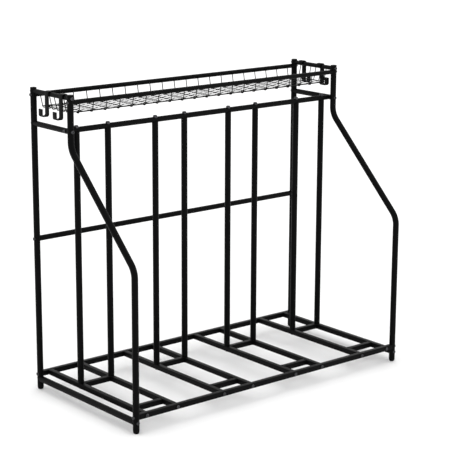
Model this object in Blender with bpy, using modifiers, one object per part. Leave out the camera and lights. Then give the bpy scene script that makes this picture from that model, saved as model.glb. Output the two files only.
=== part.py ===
"""Free-standing steel rack that parks four bicycles, with a wire basket on top.

Two bent front posts and two straight back posts carry bolted bars. Four welded
wheel trays lie between the low front and back bars, and a pair of uprights on
each tray holds a wheel upright. Four hooks slide on the basket's side rails.

Frame: +X to the right, +Y to the back, +Z up, with the floor at Z = 0 and the
origin under the middle of the rack. Units are metres.
"""

import math

import bmesh
import bpy
from mathutils import Vector

# Frame, measured between tube axes
POST_PITCH_X = 1.180
POST_PITCH_Y = 0.562
RACK_HEIGHT = 1.066
SHELF_DEPTH = 0.218
BEND_LOW_Z = 0.5455
BEND_BELOW_TOP = 0.182
BEND_RADIUS = 0.065

# Tube sections
POST_DIAMETER = 0.022
BAR_DIAMETER = 0.019
BASKET_RAIL_DIAMETER = 0.016
SQUARE_SIDE = 0.018
TUBE_WALL = 0.0012

# Bar heights above the floor, at the tube axis
LOW_SIDE_Z = 0.0374
MIDDLE_Z = 0.543

# Extra height of a low square bar's axis, beyond its own side, over a low side bar's axis
LOW_BAR_STEP = 0.0006

# Drops from the rack's top to a tube axis or, for the floor, to its upper face
TOP_BAR_DROP = 0.122
BASKET_RAIL_DROP = 0.025
BASKET_SIDE_RAIL_DROP = 0.012
BASKET_FLOOR_DROP = 0.0615

# Wheel trays and uprights
TRAY_COUNT = 4
TRAY_END_INSET = 0.0384
TRAY_RAIL_SPACING = 0.127
FRONT_CROSS_PIECE_INSET = 0.071
UPRIGHT_BEHIND_POST = 0.024
UPRIGHT_TOP_BELOW_AXIS = 0.0038

# Basket
WIRE_DIAMETER = 0.0032
WIRE_SPACING = 0.0545
SIDE_WIRE_SPACING = 0.028
WIRE_END_INSET = 0.045
SIDE_WIRE_END_INSET = 0.039
WIRE_WELD_DEPTH = 0.001
WIRE_TOP_ABOVE_AXIS = 0.003
WIRE_TURN_RADIUS = 0.006
WIRE_FOOT_LENGTH = 0.007
WIRE_LEAN = 0.008
SIDE_WIRE_LEAN = 0.012
FLOOR_THICKNESS = 0.0012
FLOOR_END_INSET = 0.020
MESH_PITCH_LONG = 0.0545
MESH_PITCH_SHORT = 0.0255
MESH_STRAND = 0.0024
MESH_BORDER = 0.006

# Hooks
HOOK_WIDTH = 0.022
HOOK_THICKNESS = 0.003
HOOK_DROP = 0.073
HOOK_REACH = 0.025
HOOK_TIP_HEIGHT = 0.026
HOOK_LIP_DROP = 0.005
HOOK_BEND_RADIUS = 0.006
HOOK_RAIL_CLEARANCE = 0.0005
HOOKS_BEHIND_POST = {"left": (0.039, 0.122), "right": (0.073, 0.173)}

# Fasteners and plugs
BOLT_DIAMETER = 0.006
BOLT_HEAD_DIAMETER = 0.0115
BOLT_HEAD_HEIGHT = 0.0033
BOLT_SOCKET_DEPTH = 0.0016
BOLT_SOCKET_DIAMETER = 0.004
BOLT_LENGTH = 0.030
BOLT_HEAD_CURVE = ((1.0, 0.35), (0.72, 0.85), (0.45, 1.0))
INSERT_LENGTH = 0.012
PLUG_LENGTH = 0.016
CAP_HEIGHT = 0.005
CAP_EDGE = 0.0012
FOOT_HEIGHT = 0.012
FOOT_FACE_DIAMETER = 0.012

# Fits
GAP = 0.0003
BAR_END_FROM_POST_AXIS = 0.0065
CUT_MARGIN = 0.02

# Mesh fineness
TUBE_SIDES = 12
SADDLE_SIDES = 24
POST_SIDES = 12
WIRE_SIDES = 6
BOLT_SIDES = 10
BEND_STEPS = 5
SMALL_BEND_STEPS = 3
DOME_STEPS = 3
MERGE_DISTANCE = 1e-6
TURNED_MERGE_DISTANCE = 1e-5

# Derived places
HALF_X = POST_PITCH_X / 2
HALF_Y = POST_PITCH_Y / 2
BEND_HIGH_Z = RACK_HEIGHT - BEND_BELOW_TOP
TOP_Z = RACK_HEIGHT - TOP_BAR_DROP
BASKET_RAIL_Z = RACK_HEIGHT - BASKET_RAIL_DROP
BASKET_SIDE_RAIL_Z = RACK_HEIGHT - BASKET_SIDE_RAIL_DROP
FLOOR_TOP_Z = RACK_HEIGHT - BASKET_FLOOR_DROP
UPPER_Y = HALF_Y - SHELF_DEPTH
UPRIGHT_Y = UPPER_Y + UPRIGHT_BEHIND_POST
FRONT_CROSS_PIECE_Y = -HALF_Y + FRONT_CROSS_PIECE_INSET
POST_RADIUS = POST_DIAMETER / 2
BAR_RADIUS = BAR_DIAMETER / 2
RAIL_RADIUS = BASKET_RAIL_DIAMETER / 2
LOW_FRONT_Z = LOW_SIDE_Z + SQUARE_SIDE + LOW_BAR_STEP
WIRE_BESIDE_RAIL = RAIL_RADIUS + WIRE_DIAMETER / 2 - WIRE_WELD_DEPTH
FLOOR_EDGE_INSET = WIRE_BESIDE_RAIL + WIRE_LEAN + WIRE_DIAMETER / 2 + GAP
FLOOR_WIRE_Z = FLOOR_TOP_Z - FLOOR_THICKNESS - GAP - WIRE_DIAMETER / 2
TRAY_PITCH = (POST_PITCH_X - 2 * TRAY_END_INSET - TRAY_RAIL_SPACING) / (TRAY_COUNT - 1)
DRILL_DIAMETER = BOLT_DIAMETER + 2 * GAP

ALONG_X = (0.0, math.pi / 2, 0.0)
ALONG_Y = (-math.pi / 2, 0.0, 0.0)
ALONG_Z = (0.0, 0.0, 0.0)

SIDES = {"left": -1, "right": 1}


# ---------------------------------------------------------------- set-up

def clear_scene():
    """Remove whatever the file opened with."""
    for item in list(bpy.data.objects):
        bpy.data.objects.remove(item, do_unlink=True)


def new_collection(name):
    """Return a collection linked to the scene."""
    collection = bpy.data.collections.new(name)
    bpy.context.scene.collection.children.link(collection)
    return collection


def make_material(name, colour, roughness, metallic):
    """Return a plain Principled material."""
    material = bpy.data.materials.new(name)
    material.use_nodes = True
    shader = material.node_tree.nodes["Principled BSDF"]
    shader.inputs["Base Color"].default_value = (*colour, 1.0)
    shader.inputs["Roughness"].default_value = roughness
    shader.inputs["Metallic"].default_value = metallic
    return material


clear_scene()
PARTS = new_collection("bicycle_rack")
CUTTERS = new_collection("cutters")
FINISHES = {
    "post": ("post_powder_coat", (0.012, 0.012, 0.013), 0.38, 0.2),
    "bar": ("bar_powder_coat", (0.014, 0.014, 0.015), 0.38, 0.2),
    "upright": ("upright_powder_coat", (0.013, 0.013, 0.014), 0.38, 0.2),
    "tray": ("tray_powder_coat", (0.016, 0.016, 0.017), 0.40, 0.2),
    "basket": ("basket_powder_coat", (0.015, 0.015, 0.016), 0.42, 0.2),
    "floor": ("mesh_powder_coat", (0.020, 0.020, 0.021), 0.45, 0.2),
    "hook": ("hook_powder_coat", (0.013, 0.013, 0.014), 0.36, 0.2),
    "plastic": ("black_plastic", (0.018, 0.018, 0.018), 0.50, 0.0),
    "bolt": ("black_oxide_steel", (0.050, 0.050, 0.052), 0.30, 0.9),
}
MATERIALS = {key: make_material(*finish) for key, finish in FINISHES.items()}


# ---------------------------------------------------------------- building blocks

def place(name, data, collection, location=(0, 0, 0), rotation=ALONG_Z):
    """Put a data block in the scene as a named object."""
    item = bpy.data.objects.new(name, data)
    item.location = location
    item.rotation_euler = rotation
    collection.objects.link(item)
    return item


def add_part(name, data, finish, location=(0, 0, 0), rotation=ALONG_Z):
    """Add one sub-part in its material."""
    data.materials.append(MATERIALS[finish])
    return place(name, data, PARTS, location, rotation)


def add_cutter(name, data, location=(0, 0, 0), rotation=ALONG_Z):
    """Add a hidden tool that only shapes other parts."""
    item = place(name, data, CUTTERS, location, rotation)
    item.hide_render = True
    item.display_type = "WIRE"
    return item


def apply_boolean(item, tool, operation):
    """Cut a tool out of a part, or join it on."""
    modifier = item.modifiers.new(f"{operation.lower()}_{tool.name}", "BOOLEAN")
    modifier.operation = operation
    modifier.solver = "EXACT"
    modifier.object = tool


def cylinder_mesh(name, radius, length, sides):
    """Return a closed cylinder centred on its own Z axis."""
    mesh = bpy.data.meshes.new(name)
    shape = bmesh.new()
    bmesh.ops.create_cone(shape, cap_ends=True, segments=sides, radius1=radius,
                          radius2=radius, depth=length)
    for face in shape.faces:
        face.smooth = len(face.verts) == 4
    shape.to_mesh(mesh)
    shape.free()
    return mesh


def box_mesh(name, size):
    """Return a closed box centred on its origin."""
    mesh = bpy.data.meshes.new(name)
    shape = bmesh.new()
    bmesh.ops.create_cube(shape, size=1.0)
    bmesh.ops.scale(shape, vec=size, verts=shape.verts)
    shape.to_mesh(mesh)
    shape.free()
    return mesh


def outline_curve(name, outlines, thickness):
    """Return a flat 2D curve of one or more closed outlines, thickened both ways."""
    curve = bpy.data.curves.new(name, "CURVE")
    curve.dimensions = "2D"
    curve.fill_mode = "BOTH"
    curve.extrude = thickness / 2
    for outline in outlines:
        spline = curve.splines.new("POLY")
        spline.points.add(len(outline) - 1)
        for point, (x, y) in zip(spline.points, outline):
            point.co = (x, y, 0.0, 1.0)
        spline.use_cyclic_u = True
    return curve


def path_curve(name, paths, radius, sides, capped):
    """Return a 3D curve that sweeps a round section along each path."""
    curve = bpy.data.curves.new(name, "CURVE")
    curve.dimensions = "3D"
    curve.bevel_depth = radius
    curve.bevel_resolution = sides // 2 - 2
    curve.use_fill_caps = capped
    curve.twist_mode = "MINIMUM"
    for path in paths:
        spline = curve.splines.new("POLY")
        spline.points.add(len(path) - 1)
        for point, place_ in zip(spline.points, path):
            point.co = (*place_, 1.0)
    return curve


def curve_as_mesh(name, curve):
    """Return a welded mesh copy of a curve, ready for Booleans."""
    holder = place(name + "_source", curve, CUTTERS)
    depsgraph = bpy.context.evaluated_depsgraph_get()
    mesh = bpy.data.meshes.new_from_object(holder.evaluated_get(depsgraph), depsgraph=depsgraph)
    bpy.data.objects.remove(holder, do_unlink=True)
    mesh.name = name
    shape = bmesh.new()
    shape.from_mesh(mesh)
    bmesh.ops.remove_doubles(shape, verts=shape.verts, dist=MERGE_DISTANCE)
    bmesh.ops.recalc_face_normals(shape, faces=shape.faces)
    for face in shape.faces:
        face.smooth = len(face.verts) == 4
    shape.to_mesh(mesh)
    shape.free()
    return mesh


def turned_part(name, profile, finish, sides, location, rotation):
    """Add a solid of revolution from a profile of (radius, height), top to bottom."""
    mesh = bpy.data.meshes.new(name)
    points = [(radius, 0.0, height) for radius, height in profile]
    mesh.from_pydata(points, [(i, i + 1) for i in range(len(points) - 1)], [])
    item = add_part(name, mesh, finish, location, rotation)
    screw = item.modifiers.new("turn", "SCREW")
    screw.steps = sides
    screw.render_steps = sides
    screw.use_merge_vertices = True
    screw.merge_threshold = TURNED_MERGE_DISTANCE
    screw.use_smooth_shade = True
    return item


def rounded_path(corners, radius, steps):
    """Return a path through the corners, with each inner corner turned into an arc."""
    corners = [Vector(corner) for corner in corners]
    path = [corners[0]]
    for before, corner, after in zip(corners, corners[1:], corners[2:]):
        back = (before - corner).normalized()
        ahead = (after - corner).normalized()
        half_angle = back.angle(ahead) / 2
        tangent = radius / math.tan(half_angle)
        centre = corner + (back + ahead).normalized() * (radius / math.sin(half_angle))
        start = corner + back * tangent - centre
        end = corner + ahead * tangent - centre
        sweep = start.angle(end)
        for step in range(steps + 1):
            share = step / steps
            weight_start = math.sin((1 - share) * sweep) / math.sin(sweep)
            weight_end = math.sin(share * sweep) / math.sin(sweep)
            path.append(centre + start * weight_start + end * weight_end)
    path.append(corners[-1])
    return path


# ---------------------------------------------------------------- posts

def post_places():
    """Return each post's name, side and whether it is a bent front post."""
    return [(f"{row}_{side}", sign, row == "front")
            for row in ("front", "back") for side, sign in SIDES.items()]


def add_post(name, sign, bent):
    """Add one post: straight at the back, bent back and up at the front."""
    x = sign * HALF_X
    bottom = FOOT_HEIGHT
    top = RACK_HEIGHT - CAP_HEIGHT
    if bent:
        corners = [(x, -HALF_Y, bottom), (x, -HALF_Y, BEND_LOW_Z),
                   (x, UPPER_Y, BEND_HIGH_Z), (x, UPPER_Y, top)]
        path = rounded_path(corners, BEND_RADIUS, BEND_STEPS)
    else:
        path = [Vector((x, HALF_Y, bottom)), Vector((x, HALF_Y, top))]
    curve = path_curve(f"{name}_post", [path], POST_RADIUS, POST_SIDES, capped=False)
    post = add_part(f"{name}_post", curve_as_mesh(f"{name}_post", curve), "post")
    wall = post.modifiers.new("wall", "SOLIDIFY")
    wall.thickness = TUBE_WALL
    wall.offset = -1
    return post


def add_foot(name, x, y):
    """Add the rounded plug that a post stands on."""
    face = FOOT_FACE_DIAMETER / 2
    spigot = POST_RADIUS - TUBE_WALL - GAP
    shoulder = FOOT_HEIGHT - GAP
    profile = [(0.0, shoulder + PLUG_LENGTH), (spigot, shoulder + PLUG_LENGTH),
               (spigot, shoulder), (POST_RADIUS, shoulder)]
    for step in range(DOME_STEPS + 1):
        angle = math.pi / 2 * step / DOME_STEPS
        radius = face + (POST_RADIUS - face) * math.cos(angle)
        height = (shoulder - GAP) * (1 - math.sin(angle))
        profile.append((radius, height))
    profile.append((0.0, 0.0))
    turned_part(f"{name}_foot", profile, "plastic", POST_SIDES, (x, y, 0), ALONG_Z)


def add_cap(name, x, y):
    """Add the flat cap that closes a post's top."""
    rim = POST_RADIUS
    spigot = POST_RADIUS - TUBE_WALL - GAP
    underside = RACK_HEIGHT - CAP_HEIGHT + GAP
    profile = [(0.0, RACK_HEIGHT), (rim - CAP_EDGE, RACK_HEIGHT),
               (rim, RACK_HEIGHT - CAP_EDGE), (rim, underside), (spigot, underside),
               (spigot, underside - PLUG_LENGTH), (0.0, underside - PLUG_LENGTH)]
    turned_part(f"{name}_cap", profile, "plastic", POST_SIDES, (x, y, 0), ALONG_Z)


def add_posts():
    """Add the four posts with their feet and caps, and return the posts by name."""
    posts = {}
    for name, sign, bent in post_places():
        y_low = -HALF_Y if bent else HALF_Y
        y_high = UPPER_Y if bent else HALF_Y
        posts[name] = add_post(name, sign, bent)
        add_foot(name, sign * HALF_X, y_low)
        add_cap(name, sign * HALF_X, y_high)
    return posts


def add_saddle_cutters():
    """Add the cylinders that shape bar ends to fit against each post."""
    height = RACK_HEIGHT
    radius = POST_RADIUS + GAP
    rows = {"front": -HALF_Y, "upper": UPPER_Y, "back": HALF_Y}
    saddles = {}
    for row, y in rows.items():
        for side, sign in SIDES.items():
            mesh = cylinder_mesh(f"saddle_{row}_{side}", radius, height, SADDLE_SIDES)
            saddles[row, side] = add_cutter(f"saddle_{row}_{side}", mesh,
                                            (sign * HALF_X, y, height / 2))
    return saddles


# ---------------------------------------------------------------- bars

def add_bolt(name, head, rotation):
    """Add a button-head bolt whose shank runs along local +Z from its head.

    The head's curve is given as shares of its radius and height.
    """
    head_radius = BOLT_HEAD_DIAMETER / 2
    shank = BOLT_DIAMETER / 2
    socket = BOLT_SOCKET_DIAMETER / 2
    top = -BOLT_HEAD_HEIGHT
    profile = [(0.0, BOLT_LENGTH), (shank, BOLT_LENGTH), (shank, 0.0), (head_radius, 0.0)]
    profile += [(head_radius * across, top * up) for across, up in BOLT_HEAD_CURVE]
    profile += [(socket, top), (socket, top + BOLT_SOCKET_DEPTH), (0.0, top + BOLT_SOCKET_DEPTH)]
    turned_part(name, profile, "bolt", BOLT_SIDES, head, rotation)


def add_bolt_pair(name, axis, centre, seat):
    """Add the two bolts of one bar, heads outward at the given distance from its middle."""
    x, y, z = centre
    if axis == "x":
        add_bolt(f"{name}_left", (x - seat, y, z), (0, math.pi / 2, 0))
        add_bolt(f"{name}_right", (x + seat, y, z), (0, -math.pi / 2, 0))
    else:
        add_bolt(f"{name}_front", (x, y - seat, z), (-math.pi / 2, 0, 0))
        add_bolt(f"{name}_back", (x, y + seat, z), (math.pi / 2, 0, 0))


def add_bar(name, axis, centre, span, side, square, saddles):
    """Add one bar between two tubes whose axes are the span apart.

    The bar is a tube with a solid threaded insert in each end. The saddles shape
    its ends, and the drill it returns is shared with the tubes it meets.
    """
    rotation = ALONG_X if axis == "x" else ALONG_Y
    length = span - 2 * BAR_END_FROM_POST_AXIS
    cavity = span - 2 * (POST_RADIUS + INSERT_LENGTH)
    inner = side - 2 * TUBE_WALL
    if square:
        outer_mesh = box_mesh(name, (side, side, length))
        cavity_mesh = box_mesh(f"{name}_cavity", (inner, inner, cavity))
    else:
        outer_mesh = cylinder_mesh(name, side / 2, length, TUBE_SIDES)
        cavity_mesh = cylinder_mesh(f"{name}_cavity", inner / 2, cavity, TUBE_SIDES)
    bar = add_part(name, outer_mesh, "bar", centre, rotation)
    apply_boolean(bar, add_cutter(f"{name}_cavity", cavity_mesh, centre, rotation), "DIFFERENCE")
    for saddle in saddles:
        apply_boolean(bar, saddle, "DIFFERENCE")
    drill_mesh = cylinder_mesh(f"{name}_drill", DRILL_DIAMETER / 2,
                               span + 2 * (POST_RADIUS + CUT_MARGIN), BOLT_SIDES)
    drill = add_cutter(f"{name}_drill", drill_mesh, centre, rotation)
    apply_boolean(bar, drill, "DIFFERENCE")
    return bar, drill


def add_cross_bars(posts, saddles):
    """Add the left-to-right bars that are bolted between posts."""
    bars = {
        "low_front_bar": ("front", -HALF_Y, LOW_FRONT_Z, SQUARE_SIDE, True),
        "low_back_bar": ("back", HALF_Y, LOW_FRONT_Z, SQUARE_SIDE, True),
        "middle_back_bar": ("back", HALF_Y, MIDDLE_Z, BAR_DIAMETER, False),
    }
    for name, (row, y, z, side, square) in bars.items():
        ends = [saddles[row, "left"], saddles[row, "right"]]
        _, drill = add_bar(name, "x", (0, y, z), POST_PITCH_X, side, square, ends)
        for end in SIDES:
            apply_boolean(posts[f"{row}_{end}"], drill, "DIFFERENCE")
        bolt_name = "bolt_" + name.removesuffix("_bar")
        add_bolt_pair(bolt_name, "x", (0, y, z), HALF_X + POST_RADIUS + GAP)


def add_side_bars(posts, saddles):
    """Add the front-to-back bars, and return the top ones by side."""
    top_bars = {}
    for side, sign in SIDES.items():
        x = sign * HALF_X
        ends = [saddles["front", side], saddles["back", side]]
        name = f"low_{side}"
        _, drill = add_bar(f"{name}_bar", "y", (x, 0, LOW_SIDE_Z), POST_PITCH_Y, POST_DIAMETER,
                           False, ends)
        drills = [drill]
        add_bolt_pair(f"bolt_{name}", "y", (x, 0, LOW_SIDE_Z), HALF_Y + POST_RADIUS + GAP)

        ends = [saddles["upper", side], saddles["back", side]]
        name = f"top_{side}"
        centre = (x, (UPPER_Y + HALF_Y) / 2, TOP_Z)
        bar, drill = add_bar(f"{name}_bar", "y", centre, SHELF_DEPTH, BAR_DIAMETER, False, ends)
        top_bars[side] = bar
        drills.append(drill)
        add_bolt_pair(f"bolt_{name}", "y", centre, SHELF_DEPTH / 2 + POST_RADIUS + GAP)
        for drill in drills:
            apply_boolean(posts[f"front_{side}"], drill, "DIFFERENCE")
            apply_boolean(posts[f"back_{side}"], drill, "DIFFERENCE")
    return top_bars


def add_top_front_bar(top_bars):
    """Add the bar between the top side bars that the uprights reach."""
    centre = (0, UPRIGHT_Y, TOP_Z)
    saddles = []
    for side, sign in SIDES.items():
        mesh = cylinder_mesh(f"saddle_top_{side}", BAR_RADIUS + GAP, SHELF_DEPTH, SADDLE_SIDES)
        saddles.append(add_cutter(f"saddle_top_{side}", mesh,
                                  (sign * HALF_X, (UPPER_Y + HALF_Y) / 2, TOP_Z), ALONG_Y))
    _, drill = add_bar("top_front_bar", "x", centre, POST_PITCH_X, BAR_DIAMETER, False, saddles)
    for bar in top_bars.values():
        apply_boolean(bar, drill, "DIFFERENCE")
    add_bolt_pair("bolt_top_front", "x", centre, HALF_X + BAR_RADIUS + GAP)


# ---------------------------------------------------------------- trays and uprights

def tray_centres():
    """Return the X of each wheel tray's middle."""
    first = -HALF_X + TRAY_END_INSET + TRAY_RAIL_SPACING / 2
    return [first + index * TRAY_PITCH for index in range(TRAY_COUNT)]


def ladder_outlines(half_width, end):
    """Return the plan of a tray's rails and cross-pieces, for tubes of the given half width."""
    outer = TRAY_RAIL_SPACING / 2 + half_width
    inner = TRAY_RAIL_SPACING / 2 - half_width
    front = FRONT_CROSS_PIECE_Y - half_width
    back = UPRIGHT_Y + half_width
    frame = [(-outer, -end), (-inner, -end), (-inner, front), (inner, front), (inner, -end),
             (outer, -end), (outer, end), (inner, end), (inner, back), (-inner, back),
             (-inner, end), (-outer, end)]
    front += 2 * half_width
    back -= 2 * half_width
    gap = [(-inner, front), (inner, front), (inner, back), (-inner, back)]
    return [frame, gap]


def add_tray(index, x):
    """Add one welded tray of square tube between the low front and back bars."""
    name = f"wheel_tray_{index}"
    end = HALF_Y - SQUARE_SIDE / 2 - GAP
    half = SQUARE_SIDE / 2
    plan = outline_curve(name, ladder_outlines(half, end), SQUARE_SIDE)
    bore = outline_curve(f"{name}_bore", ladder_outlines(half - TUBE_WALL, end + CUT_MARGIN),
                         SQUARE_SIDE - 2 * TUBE_WALL)
    centre = (x, 0, LOW_FRONT_Z)
    mesh = curve_as_mesh(name, plan)
    mesh.shade_flat()
    tray = add_part(name, mesh, "tray", centre)
    cutter = add_cutter(f"{name}_bore", curve_as_mesh(f"{name}_bore", bore), centre)
    apply_boolean(tray, cutter, "DIFFERENCE")


def add_upright(index, x, saddle):
    """Add one round upright from a tray rail to the top front bar."""
    name = f"wheel_upright_{index}"
    bottom = LOW_FRONT_Z + SQUARE_SIDE / 2 + GAP
    centre = (x, UPRIGHT_Y, (bottom + TOP_Z) / 2)
    length = TOP_Z - bottom
    upright = add_part(name, cylinder_mesh(name, POST_RADIUS, length, TUBE_SIDES), "upright", centre)
    bore_mesh = cylinder_mesh(f"{name}_bore", POST_RADIUS - TUBE_WALL, length + CUT_MARGIN, TUBE_SIDES)
    apply_boolean(upright, add_cutter(f"{name}_bore", bore_mesh, centre), "DIFFERENCE")
    apply_boolean(upright, saddle, "DIFFERENCE")


def add_upright_saddle():
    """Add the cutter that shapes upright tops to the top front bar."""
    half = BAR_RADIUS + GAP
    block = (POST_PITCH_X, POST_DIAMETER + CUT_MARGIN, 2 * half)
    under = cylinder_mesh("saddle_uprights", half, POST_PITCH_X, SADDLE_SIDES)
    saddle = add_cutter("saddle_uprights", under, (0, UPRIGHT_Y, TOP_Z), ALONG_X)
    top = add_cutter("saddle_uprights_top", box_mesh("saddle_uprights_top", block),
                     (0, UPRIGHT_Y, TOP_Z + half - UPRIGHT_TOP_BELOW_AXIS))
    apply_boolean(saddle, top, "UNION")
    return saddle


def add_trays_and_uprights():
    """Add the four wheel trays and the pair of uprights on each."""
    saddle = add_upright_saddle()
    for index, x in enumerate(tray_centres()):
        add_tray(index + 1, x)
        add_upright(2 * index + 1, x - TRAY_RAIL_SPACING / 2, saddle)
        add_upright(2 * index + 2, x + TRAY_RAIL_SPACING / 2, saddle)


# ---------------------------------------------------------------- basket

def spread(length, inset, spacing):
    """Return evenly spread places along a length, about the given spacing apart."""
    reach = length / 2 - inset
    gaps = round(2 * reach / spacing)
    return [-reach + 2 * reach * index / gaps for index in range(gaps + 1)]


def wire_path(top, inward, lean, foot_z):
    """Return one basket wire: down from its rail, leaning in, then turned under the floor."""
    top = Vector(top)
    corner = Vector((top.x, top.y, foot_z)) + inward * lean
    foot = corner + inward * (WIRE_TURN_RADIUS + WIRE_FOOT_LENGTH)
    return rounded_path([top, corner, foot], WIRE_TURN_RADIUS, SMALL_BEND_STEPS)


def add_basket_side(name, axis, centre, span, saddles, wire_sets):
    """Add one basket rail with its wires welded on, as one hollow-railed solid.

    Wires that touch each other come in different sets.
    """
    rotation = ALONG_X if axis == "x" else ALONG_Y
    length = span - 2 * BAR_END_FROM_POST_AXIS
    rail = add_part(name, cylinder_mesh(name, RAIL_RADIUS, length, TUBE_SIDES), "basket", centre,
                    rotation)
    for index, wires in enumerate(wire_sets):
        tool_name = f"{name}_wires_{index}"
        curve = path_curve(tool_name, wires, WIRE_DIAMETER / 2, WIRE_SIDES, capped=True)
        apply_boolean(rail, add_cutter(tool_name, curve_as_mesh(tool_name, curve)), "UNION")
    bore = cylinder_mesh(f"{name}_bore", RAIL_RADIUS - TUBE_WALL, span, TUBE_SIDES)
    apply_boolean(rail, add_cutter(f"{name}_bore", bore, centre, rotation), "DIFFERENCE")
    for saddle in saddles:
        apply_boolean(rail, saddle, "DIFFERENCE")


def add_long_basket_sides(saddles):
    """Add the basket's front and back, whose wires end under a wire along the floor's edge."""
    places = spread(POST_PITCH_X, WIRE_END_INSET, WIRE_SPACING)
    to_edge_wire = WIRE_BESIDE_RAIL + WIRE_LEAN + WIRE_TURN_RADIUS + WIRE_FOOT_LENGTH / 2
    top = BASKET_RAIL_Z + WIRE_TOP_ABOVE_AXIS
    foot_z = FLOOR_WIRE_Z - WIRE_DIAMETER + WIRE_WELD_DEPTH
    reach = places[-1] + WIRE_DIAMETER
    for name, row, y, inward in (("front", "upper", UPPER_Y, 1), ("back", "back", HALF_Y, -1)):
        across = Vector((0, inward, 0))
        wires = [wire_path((x, y + inward * WIRE_BESIDE_RAIL, top), across, WIRE_LEAN, foot_z)
                 for x in places]
        edge_y = y + inward * to_edge_wire
        edge = [Vector((-reach, edge_y, FLOOR_WIRE_Z)), Vector((reach, edge_y, FLOOR_WIRE_Z))]
        ends = [saddles[row, "left"], saddles[row, "right"]]
        add_basket_side(f"basket_{name}", "x", (0, y, BASKET_RAIL_Z), POST_PITCH_X, ends,
                        [wires, [edge]])


def add_short_basket_sides(saddles):
    """Add the basket's two ends, on whose rails the hooks slide."""
    middle = (UPPER_Y + HALF_Y) / 2
    places = spread(SHELF_DEPTH, SIDE_WIRE_END_INSET, SIDE_WIRE_SPACING)
    for side, sign in SIDES.items():
        x = sign * HALF_X
        across = Vector((-sign, 0, 0))
        wires = [wire_path((x, middle + y, BASKET_SIDE_RAIL_Z), across, SIDE_WIRE_LEAN, FLOOR_WIRE_Z)
                 for y in places]
        ends = [saddles["upper", side], saddles["back", side]]
        add_basket_side(f"basket_{side}", "y", (x, middle, BASKET_SIDE_RAIL_Z), SHELF_DEPTH, ends,
                        [wires])


def clamp(value, limit):
    """Return the value held within the limit on both sides of zero."""
    return max(-limit, min(limit, value))


def floor_openings(limit_x, limit_y):
    """Return the floor's staggered diamond openings, cut short at its border.

    An opening that would be cut short both ways is left out, because it would
    meet its neighbour at a single point.
    """
    half_angle = math.atan2(MESH_PITCH_SHORT, MESH_PITCH_LONG)
    reach_x = MESH_PITCH_LONG / 2 - MESH_STRAND / 2 / math.sin(half_angle)
    reach_y = MESH_PITCH_SHORT / 2 - MESH_STRAND / 2 / math.cos(half_angle)
    diamond = ((-reach_x, 0), (0, -reach_y), (reach_x, 0), (0, reach_y))
    rows = math.ceil(2 * limit_y / MESH_PITCH_SHORT)
    columns = math.ceil(limit_x / MESH_PITCH_LONG)
    openings = []
    for row in range(-rows, rows + 1):
        y = row * MESH_PITCH_SHORT / 2
        shift = 0.0 if row % 2 else 0.5
        for column in range(-columns - 1, columns + 2):
            x = (column + shift) * MESH_PITCH_LONG
            if abs(y) > limit_y and abs(x) + reach_x > limit_x:
                continue
            corners = [(clamp(x + across, limit_x), clamp(y + along, limit_y))
                       for across, along in diamond]
            width = max(corner[0] for corner in corners) - min(corner[0] for corner in corners)
            depth = max(corner[1] for corner in corners) - min(corner[1] for corner in corners)
            if width > MESH_BORDER and depth > MESH_STRAND:
                openings.append(list(dict.fromkeys(corners)))
    return openings


def add_basket_floor():
    """Add the expanded-metal floor, a sheet with staggered diamond openings."""
    half_x = HALF_X - FLOOR_END_INSET
    half_y = SHELF_DEPTH / 2 - FLOOR_EDGE_INSET
    outlines = [[(-half_x, -half_y), (half_x, -half_y), (half_x, half_y), (-half_x, half_y)]]
    outlines += floor_openings(half_x - MESH_BORDER, half_y - MESH_BORDER)
    curve = outline_curve("basket_floor", outlines, FLOOR_THICKNESS)
    mesh = curve_as_mesh("basket_floor", curve)
    mesh.shade_flat()
    add_part("basket_floor", mesh, "floor",
             (0, (UPPER_Y + HALF_Y) / 2, FLOOR_TOP_Z - FLOOR_THICKNESS / 2))


# ---------------------------------------------------------------- hooks

def offset_outline(path, thickness):
    """Return a closed outline on both sides of an open path, half the thickness away."""
    sides = ([], [])
    for index, point in enumerate(path):
        before = path[max(index - 1, 0)]
        after = path[min(index + 1, len(path) - 1)]
        along = (after - before).normalized()
        normal = Vector((-along.y, along.x, 0.0)) * (thickness / 2)
        sides[0].append(point + normal)
        sides[1].append(point - normal)
    return [(point.x, point.y) for point in sides[0] + sides[1][::-1]]


def hook_outline(sign):
    """Return the hook's side view about its rail's axis, outward being the given sign."""
    leg = RAIL_RADIUS + HOOK_RAIL_CLEARANCE + HOOK_THICKNESS / 2
    bottom = -HOOK_DROP + HOOK_THICKNESS / 2
    tip = leg + HOOK_REACH
    corners = [(-leg, -HOOK_LIP_DROP), (-leg, leg), (leg, leg), (leg, bottom), (tip, bottom),
               (tip, bottom + HOOK_TIP_HEIGHT)]
    corners = [(sign * x, z, 0.0) for x, z in corners]
    path = rounded_path(corners, HOOK_BEND_RADIUS, SMALL_BEND_STEPS)
    return offset_outline(path, HOOK_THICKNESS)


def add_hooks():
    """Add two sliding hooks on each side rail of the basket."""
    for side, sign in SIDES.items():
        for row, behind in zip(("front", "back"), HOOKS_BEHIND_POST[side]):
            name = f"hook_{side}_{row}"
            curve = outline_curve(name, [hook_outline(sign)], HOOK_WIDTH)
            mesh = curve_as_mesh(name, curve)
            mesh.shade_flat()
            add_part(name, mesh, "hook", (sign * HALF_X, UPPER_Y + behind, BASKET_SIDE_RAIL_Z),
                     (math.pi / 2, 0, 0))


def main():
    """Build the whole rack."""
    posts = add_posts()
    saddles = add_saddle_cutters()
    add_cross_bars(posts, saddles)
    add_top_front_bar(add_side_bars(posts, saddles))
    add_trays_and_uprights()
    add_long_basket_sides(saddles)
    add_short_basket_sides(saddles)
    add_basket_floor()
    add_hooks()


main()
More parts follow.
